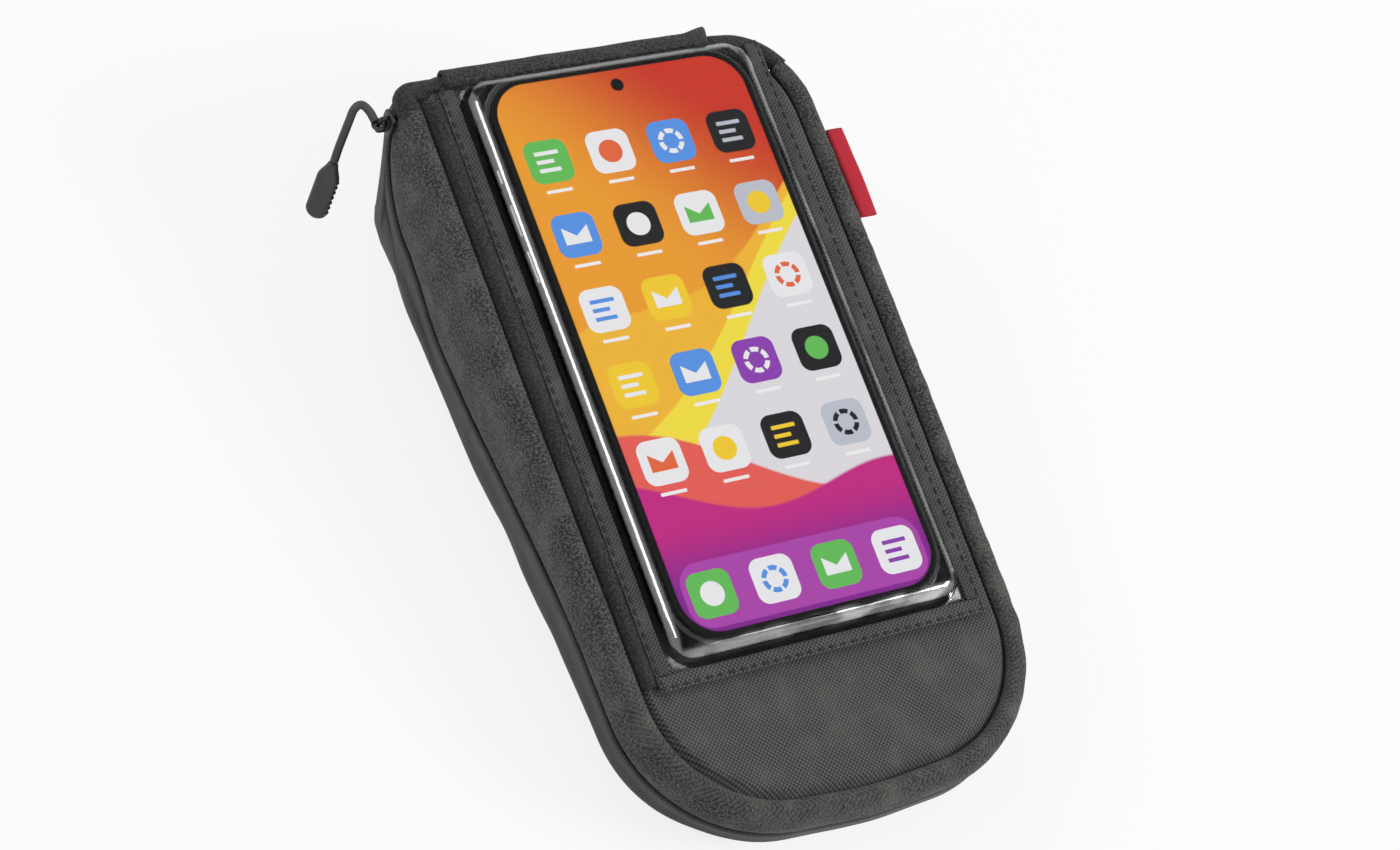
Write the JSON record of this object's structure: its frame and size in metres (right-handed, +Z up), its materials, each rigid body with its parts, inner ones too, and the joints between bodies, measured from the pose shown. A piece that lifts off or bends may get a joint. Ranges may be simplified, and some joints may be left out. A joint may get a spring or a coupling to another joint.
{
  "type": "bike phone bag",
  "caption": "Wedge-shaped handlebar bag with a zipped tray, a hinged lid with a clear phone window and a fleecy side band, on an adapter plate.",
  "frame": {"origin": "middle of the adapter plate's underside, which the bag stands on", "axes": "+Z up, +Y away from the rider along the bag, +X to the rider's right; the lid leans 8.57 degrees up towards +Y"},
  "size_m": [0.1395, 0.2088, 0.0602],
  "materials": {
    "woven_fabric": "plain woven polyester, fine square weave, matt",
    "fleece_fabric": "short-napped knit, speckled, matt",
    "tray_fabric": "smooth fine-ribbed polyester, faint sheen",
    "binding": "ribbed tape with a stitched edge",
    "film": "clear soft film, glossy",
    "foam": "foam-backed lining",
    "label_red": "folded satin ribbon, plain",
    "zip_tape": "herringbone zip tape",
    "zip_plastic": "moulded coil",
    "slider_metal": "black painted die-cast",
    "pull_rubber": "soft moulded rubber",
    "adapter_plastic": "moulded plastic, fine texture",
    "steel": "zinc-plated",
    "phone_metal": "polished frame",
    "phone_glass": "lit display under flat glass"
  },
  "bodies": {
    "bag": {"lower_gusset": "tray_fabric", "base_panel": "tray_fabric", "base_board": "adapter_plastic", "hinge_tape": "binding", "lower_zip_tape": "zip_tape", "lower_zip_coil": "zip_plastic", "zip_stop_left": "zip_plastic", "zip_stop_right": "zip_plastic", "adapter_plate": "adapter_plastic", "adapter_screw_1": "steel", "adapter_screw_2": "steel", "adapter_screw_3": "steel", "adapter_screw_4": "steel", "adapter_nut_1": "steel", "adapter_nut_2": "steel", "adapter_nut_3": "steel", "adapter_nut_4": "steel"},
    "lid": {"top_panel": "woven_fabric", "window_film": "film", "window_tape_left": "binding", "window_tape_right": "binding", "window_tape_rider": "binding", "mouth_binding": "binding", "hook_strip": "binding", "loop_strip": "binding", "pocket_foam": "foam", "pocket_back": "foam", "lid_side_band": "fleece_fabric", "upper_zip_tape": "zip_tape", "upper_zip_coil": "zip_plastic", "side_label": "label_red", "phone_case": "phone_metal", "phone_display": "phone_glass"},
    "slider": {"slider_body": "slider_metal", "slider_bail": "slider_metal"},
    "pull": {"pull_stem": "pull_rubber", "pull_grip": "pull_rubber"}
  },
  "joints": [
    {"name": "lid_hinge", "type": "hinge", "parent": "bag", "child": "lid", "pos_m": [0, 0.0966, 0.05028], "axis": [-1, 0, 0], "range_deg": [0, 105]},
    {"name": "slider_run", "type": "hinge", "parent": "bag", "child": "slider", "pos_m": [-0.0571, 0.06426, 0.04945], "axis": [-1, 0, 0], "range_deg": [0, 70]},
    {"name": "pull_swing", "type": "hinge", "parent": "slider", "child": "pull", "pos_m": [-0.06185, 0.08918, 0.04752], "axis": [0, 0.0772, 0.997], "range_deg": [-10, 60]}
  ]
}
